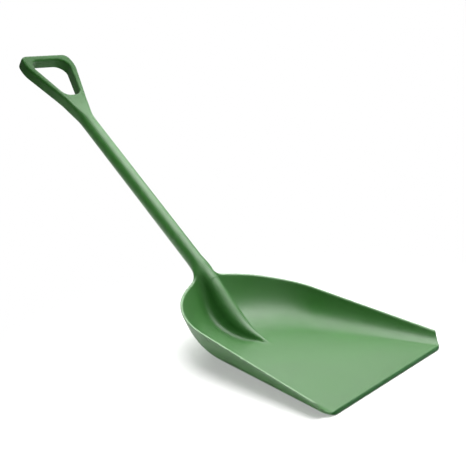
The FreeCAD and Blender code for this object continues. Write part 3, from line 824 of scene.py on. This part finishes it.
def wear_and_painted_highlights(shader, place, pointiness, colour):
    """Paler convex edges, partly wear and partly a painted highlight, and a painted highlight
    line along the top of the rim.
    """
    patches = shader.noise(place, scale=40.0, detail=4.0, roughness=0.7)
    # convex edges painted paler: partly wear, partly a painted highlight
    edge = shader.ramp(pointiness, (0.512, 0.0), (0.56, 1.0))
    edge_patches = shader.ramp(patches, (0.35, 0.15), (0.65, 0.8))
    edge = shader.math("MULTIPLY", shader.math("MULTIPLY", edge, edge_patches), 0.60)
    colour = shader.mix("MIX", edge, colour, WORN_EDGE_HIGHLIGHT_GREEN)
    # painted highlight: a paler line along the top of the rim
    rim = shader.node("Attribute", attribute_name="rim")["Fac"]
    rim_highlight_patches = shader.ramp(patches, (0.30, 0.55), (0.70, 0.95))
    rim = shader.math("MULTIPLY", rim, rim_highlight_patches)
    return shader.mix("MIX", rim, colour, RIM_HIGHLIGHT_GREEN)


def moulded_normal(shader, place):
    """Pebble grain with a finer tooth, over the slow waviness of a moulded wall."""
    tooth = shader.noise(place, scale=700.0, detail=3.0, roughness=0.6)
    grain = shader.math("ADD", tooth, shader.cells(place, scale=520.0))
    grain = shader.bump(grain, strength=0.14, distance=0.00005)
    waves = shader.noise(place, scale=26.0, detail=2.0, roughness=0.5)
    return shader.bump(waves, strength=0.06, distance=0.002, Normal=grain)


def plastic(name, seed):
    """Satin green plastic; the seed moves the textures."""
    material, shader = new_material(name)
    coordinates = shader.node("TexCoord")["Object"]
    offset = (seed * 0.37, seed * 0.11, seed * 0.53)
    place = shader.node("Mapping", {0: coordinates, "Location": offset})[0]
    geometry = shader.node("NewGeometry")
    position = shader.node("SeparateXYZ", {0: geometry["Position"]})
    # pale edges (wear and painted highlight) and the rim's painted highlight line over the
    # pigment
    colour = wear_and_painted_highlights(shader, place, geometry["Pointiness"], pigment(shader, place))

    # painted shade: the trimmed front face is tinted a deeper green, with hardly any gloss
    shaded_front_face = shader.smooth_range(position["Y"], start=cad_lo[1] + 0.0042,
                               end=cad_lo[1] + 0.0022, low=0.0, high=1.0)
    colour = shader.mix("MULTIPLY", shaded_front_face, colour, FRONT_FACE_SHADE_TINT)
    # painted shade: colour and gloss fall off with height, so that the grip is painted darker
    # than the pan
    falloff = shader.smooth_range(position["Z"], start=0.38, end=0.55, low=1.0, high=0.14)
    # painted shade, darker higher up
    painted_height_shade = shader.ramp(falloff, (0.14, 0.52), (1.0, 1.0))
    colour = shader.mix("MULTIPLY", 1.0, colour, painted_height_shade)
    # the front face's gloss is turned down along with its painted shade
    gloss = shader.ramp(shaded_front_face, (0.0, 0.95), (1.0, 0.15))
    # satin, with smoother and duller clouds
    clouds = shader.noise(place, scale=22.0, detail=5.0, roughness=0.65, distortion=0.4)

    surface = shader.node("BsdfPrincipled", {
        "Base Color": colour,
        "Specular IOR Level": shader.math("MULTIPLY", gloss, falloff),
        "Sheen Weight": shader.ramp(shaded_front_face, (0.0, 0.08), (1.0, 0.0)),
        "Sheen Roughness": 0.55,
        "Roughness": shader.ramp(clouds, (0.30, 0.41), (0.72, 0.52)),
        "Normal": moulded_normal(shader, place),
        "IOR": 1.49,
    })
    shader.node("OutputMaterial", {0: surface[0]})
    return material


for ob, node_name, seed in ((blade, "blade", 1.0), (shaft, "shaft", 2.0), (grip, "d_grip", 3.0)):
    ob.data.materials.clear()
    ob.data.materials.append(plastic("polypropylene_" + node_name, seed))
    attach(ob, "root")
    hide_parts(node_name)
for name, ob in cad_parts.items():
    ob.data.materials.clear()
    ob.data.materials.append(bpy.data.materials["polypropylene_" + name])

# ---------------------------------------------------------------- stage (metres from here on)

WHITE = (1, 1, 1, 1)
FLOOR_GLOW, UNDER_GLOW = 0.36, 0.10     # floor's own light, to the camera and to other rays
FLOOR_HALF, FLOOR_Z = 14.0, -0.0006
WORLD_DARK, WORLD_LIGHT = 0.46, 0.90


def floor_material():
    """Pale matt floor that fades to pure white away from the shovel."""
    material, shader = new_material("studio_floor")
    geometry = shader.node("NewGeometry")
    camera_ray = shader.node("LightPath")["Is Camera Ray"]
    matt = shader.node("BsdfDiffuse", {0: (0.90, 0.90, 0.895, 1)})[0]
    glow = shader.math("MULTIPLY_ADD", FLOOR_GLOW - UNDER_GLOW, camera_ray, UNDER_GLOW)
    lift = shader.node("Emission", {0: WHITE, 1: glow})[0]
    near = shader.node("AddShader", {0: matt, 1: lift})[0]
    far = shader.node("Emission", {0: WHITE, 1: 1.0})[0]
    distance = shader.node("VectorMath", {0: geometry["Position"], 1: (0.05, 0.0, 0.0)},
                           operation="DISTANCE")["Value"]
    fade = shader.smooth_range(distance, start=0.25, end=0.72, low=0.0, high=1.0)
    fade = shader.math("MULTIPLY", fade, camera_ray)
    top = shader.mix_shaders(fade, near, far)
    # one-sided: a camera below the floor looks straight through it
    below = shader.math("MULTIPLY", geometry["Backfacing"], camera_ray)
    clear = shader.node("BsdfTransparent")[0]
    shader.node("OutputMaterial", {0: shader.mix_shaders(below, top, clear)})
    return material


def build_floor():
    bm = bmesh.new()
    bm.faces.new([bm.verts.new((x * FLOOR_HALF, y * FLOOR_HALF, FLOOR_Z))
                  for x, y in ((-1, -1), (1, -1), (1, 1), (-1, 1))])
    mesh = bpy.data.meshes.new("studio_floor")
    bm.to_mesh(mesh)
    bm.free()
    ob = bpy.data.objects.new("studio_floor", mesh)
    scene.collection.objects.link(ob)
    ob.data.materials.append(floor_material())


def build_world():
    """White to the camera; as a light, brighter from above, the right and the back."""
    world = bpy.data.worlds.new("studio")
    scene.world = world
    world.use_nodes = True
    shader = Shader(world.node_tree)
    background = world.node_tree.nodes["Background"]
    direction = shader.node("TexCoord")["Generated"]
    facing = shader.node("VectorMath", {0: direction, 1: (0.66, 0.35, 0.66)},
                         operation="DOT_PRODUCT")["Value"]
    strength = shader.smooth_range(facing, start=-0.75, end=0.85,
                                   low=WORLD_DARK, high=WORLD_LIGHT)
    shader.fill(background, {1: strength})
    seen = shader.node("Background", {0: WHITE, 1: 1.0})[0]
    camera_ray = shader.node("LightPath")["Is Camera Ray"]
    mixed = shader.mix_shaders(camera_ray, background.outputs[0], seen)
    shader.fill(world.node_tree.nodes["World Output"], {0: mixed})


LIGHT_TARGET = Vector((0, 0.10, 0.08))
# Square area lights: name, place, side, power in watts.
LIGHTS = [
    ("top", (0.20, 0.00, 1.80), 1.6, 36),
    ("right", (1.10, -0.05, 1.36), 1.2, 15),
    ("back_right", (1.15, 1.10, 1.05), 1.2, 7),
    ("back", (0.45, 1.25, 1.25), 0.9, 10),
    ("left", (-1.20, -0.70, 1.30), 1.6, 1.5),
]


def build_light(name, place, side, power):
    light = bpy.data.lights.new(name, "AREA")
    light.energy = power
    light.shape = "SQUARE"
    light.size = side
    ob = bpy.data.objects.new(name, light)
    scene.collection.objects.link(ob)
    ob.location = place
    ob.rotation_mode = "QUATERNION"
    ob.rotation_quaternion = (LIGHT_TARGET - Vector(place)).to_track_quat("-Z", "Y")


# Angles in degrees; the azimuth turns from -Y towards +X.
CAMERA_AZIMUTH, CAMERA_ELEVATION, CAMERA_ROLL = -47.17541, 13.23459, -2.93588
CAMERA_TARGET = Vector((0, 0.350, 0.150))    # measured from the front edge
CAMERA_DISTANCE, CAMERA_LEFT, CAMERA_RAISE = 1.5574695, 0.0071931, 0.0657254


def build_camera():
    camera = bpy.data.cameras.new("camera")
    ob = bpy.data.objects.new("camera", camera)
    scene.collection.objects.link(ob)
    azimuth, elevation, roll = (math.radians(angle) for angle in (
        CAMERA_AZIMUTH, CAMERA_ELEVATION, CAMERA_ROLL))
    back = Vector((math.sin(azimuth) * math.cos(elevation),
                   -math.cos(azimuth) * math.cos(elevation), math.sin(elevation)))
    level_right = Vector((math.cos(azimuth), math.sin(azimuth), 0))
    level_up = back.cross(level_right)
    right = level_right * math.cos(roll) + level_up * math.sin(roll)
    up = level_up * math.cos(roll) - level_right * math.sin(roll)
    place = (CAMERA_TARGET + back * CAMERA_DISTANCE - right * CAMERA_LEFT
             + up * CAMERA_RAISE)
    place += Vector((0, FRONT_Y / 1000.0, 0))
    matrix = Matrix((right, up, back)).transposed().to_4x4()
    matrix.translation = place
    ob.matrix_world = matrix
    camera.sensor_width = 36.0
    camera.sensor_fit = "HORIZONTAL"
    camera.lens = 60.96812446
    camera.clip_start, camera.clip_end = 0.05, 60.0
    scene.camera = ob


build_floor()
build_world()
for light in LIGHTS:
    build_light(*light)
build_camera()
scene.view_settings.view_transform = "Standard"
scene.view_settings.look = "None"
scene.view_settings.exposure = 0.0
scene.view_settings.gamma = 1.0

scene.cycles.denoising_input_passes = "RGB"
